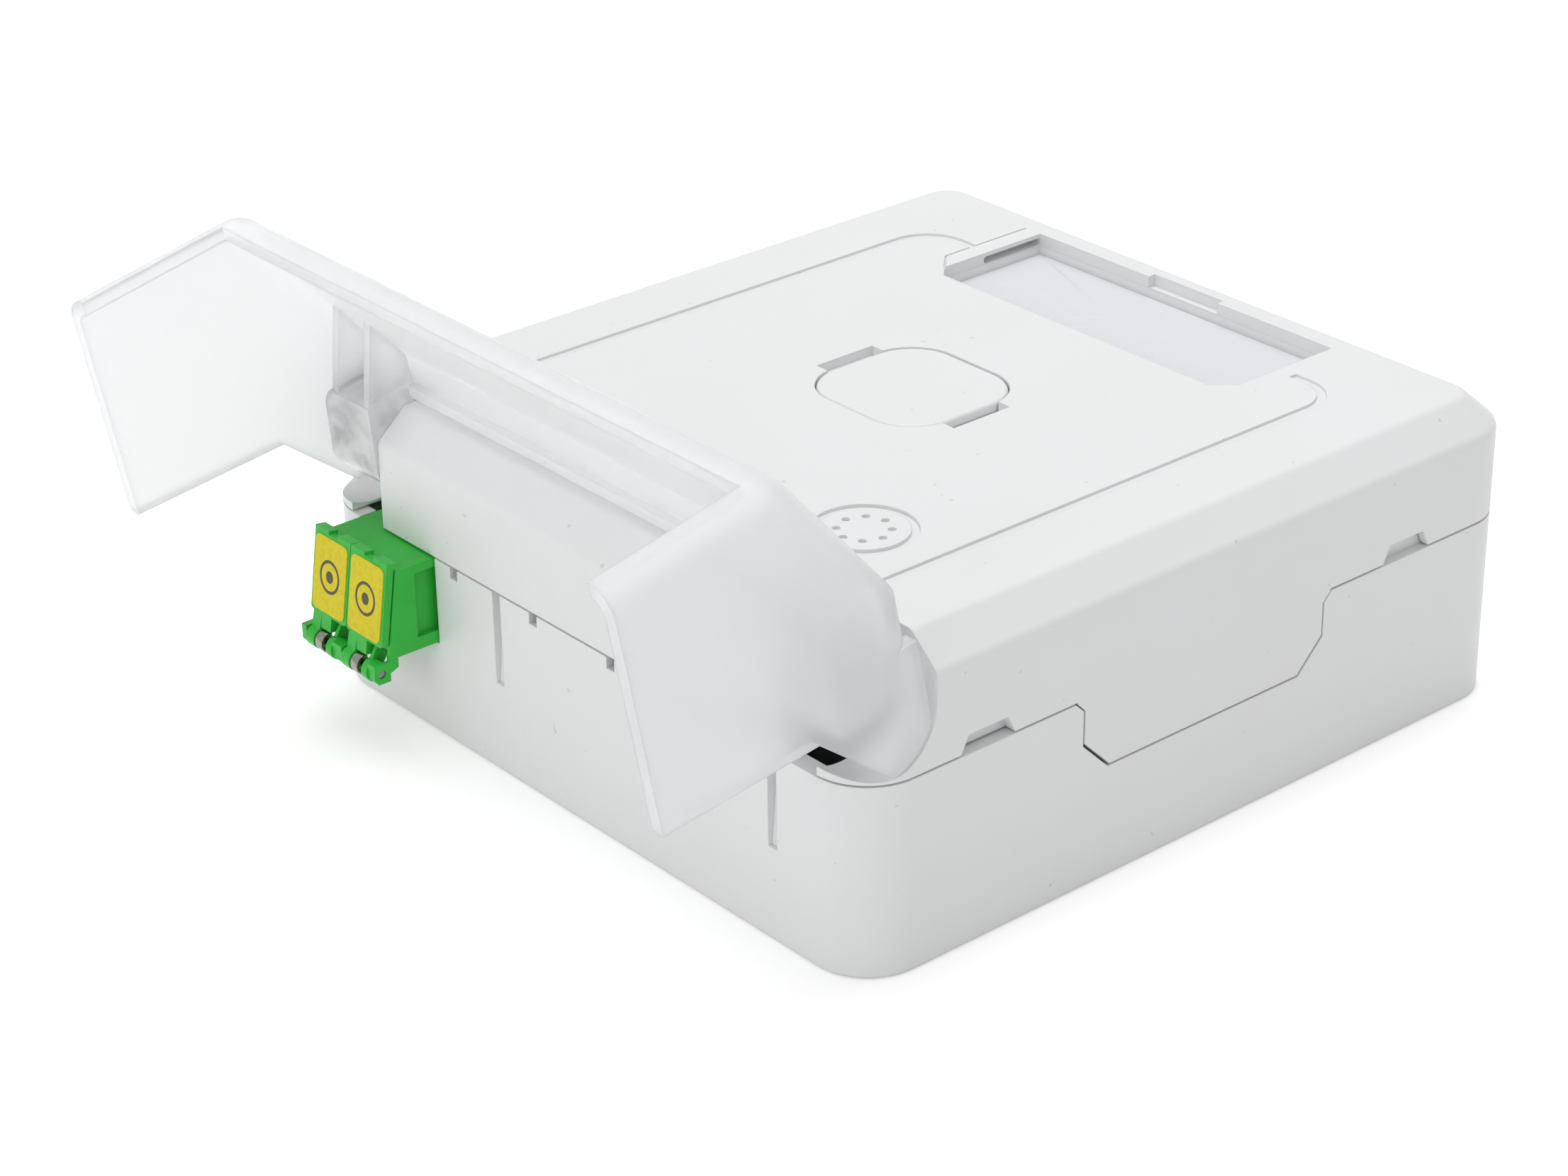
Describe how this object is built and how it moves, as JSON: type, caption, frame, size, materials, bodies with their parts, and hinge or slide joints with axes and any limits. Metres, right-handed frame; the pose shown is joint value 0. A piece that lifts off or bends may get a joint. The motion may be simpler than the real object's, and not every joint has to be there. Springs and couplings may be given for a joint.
{
  "type": "fibre outlet box",
  "caption": "Square white wall outlet box for optical fibre with a green duplex adapter behind spring shutters and a clear hinged hood that folds down over the plugs.",
  "frame": {"origin": "centre of the flat wall face at the back, between the two wall screw holes", "axes": "+Z out of the wall through the cover, -Y towards the connectors and the hood, X across the front"},
  "size_m": [0.084, 0.1145, 0.053],
  "materials": {
    "white_shell": "fine matt moulded white plastic",
    "white_insert": "plain moulded white plastic",
    "green_plastic": "satin moulded green plastic",
    "yellow_sticker": "printed yellow film",
    "steel": "bare steel",
    "ceramic": "polished white ceramic",
    "grey_comb": "soft grey comb",
    "label_card": "pale card",
    "clear_window": "clear plastic strip",
    "clear_hood": "frosted clear plastic"
  },
  "bodies": {
    "base": {"base_shell": "white_shell", "adapter_housing": "green_plastic", "sleeve_carrier": "white_insert", "sleeve_left": "ceramic", "sleeve_right": "ceramic", "shutter_pin": "steel", "shutter_spring_left": "steel", "shutter_spring_right": "steel", "splice_tray": "white_insert", "splice_comb": "grey_comb", "tray_screws": "steel", "cable_clamp": "white_insert", "clamp_screws": "steel"},
    "cover": {"top_cover": "white_shell", "centre_cap": "white_shell", "cover_screw": "steel", "label_card": "label_card", "label_window": "clear_window"},
    "hood": {"clear_hood": "clear_hood"},
    "left_shutter": {"shutter_left": "green_plastic", "sticker_left": "yellow_sticker"},
    "right_shutter": {"shutter_right": "green_plastic", "sticker_right": "yellow_sticker"}
  },
  "joints": [
    {"name": "cover_lift", "type": "slide", "parent": "base", "child": "cover", "axis": [0, 0, 1], "range_m": [0, 0.03]},
    {"name": "hood_hinge", "type": "hinge", "parent": "cover", "child": "hood", "pos_m": [0, -0.0413, 0.0265], "axis": [-1, 0, 0], "range_deg": [-78, 8]},
    {"name": "left_shutter_hinge", "type": "hinge", "parent": "base", "child": "left_shutter", "pos_m": [-0.03143, -0.0509, 0.0091], "axis": [1, 0, 0], "range_deg": [0, 95], "stiffness_Nm_per_rad": 0.0003, "springref_deg": -28.65},
    {"name": "right_shutter_hinge", "type": "hinge", "parent": "base", "child": "right_shutter", "pos_m": [-0.02517, -0.0509, 0.0091], "axis": [1, 0, 0], "range_deg": [0, 95], "stiffness_Nm_per_rad": 0.0003, "springref_deg": -28.65}
  ]
}
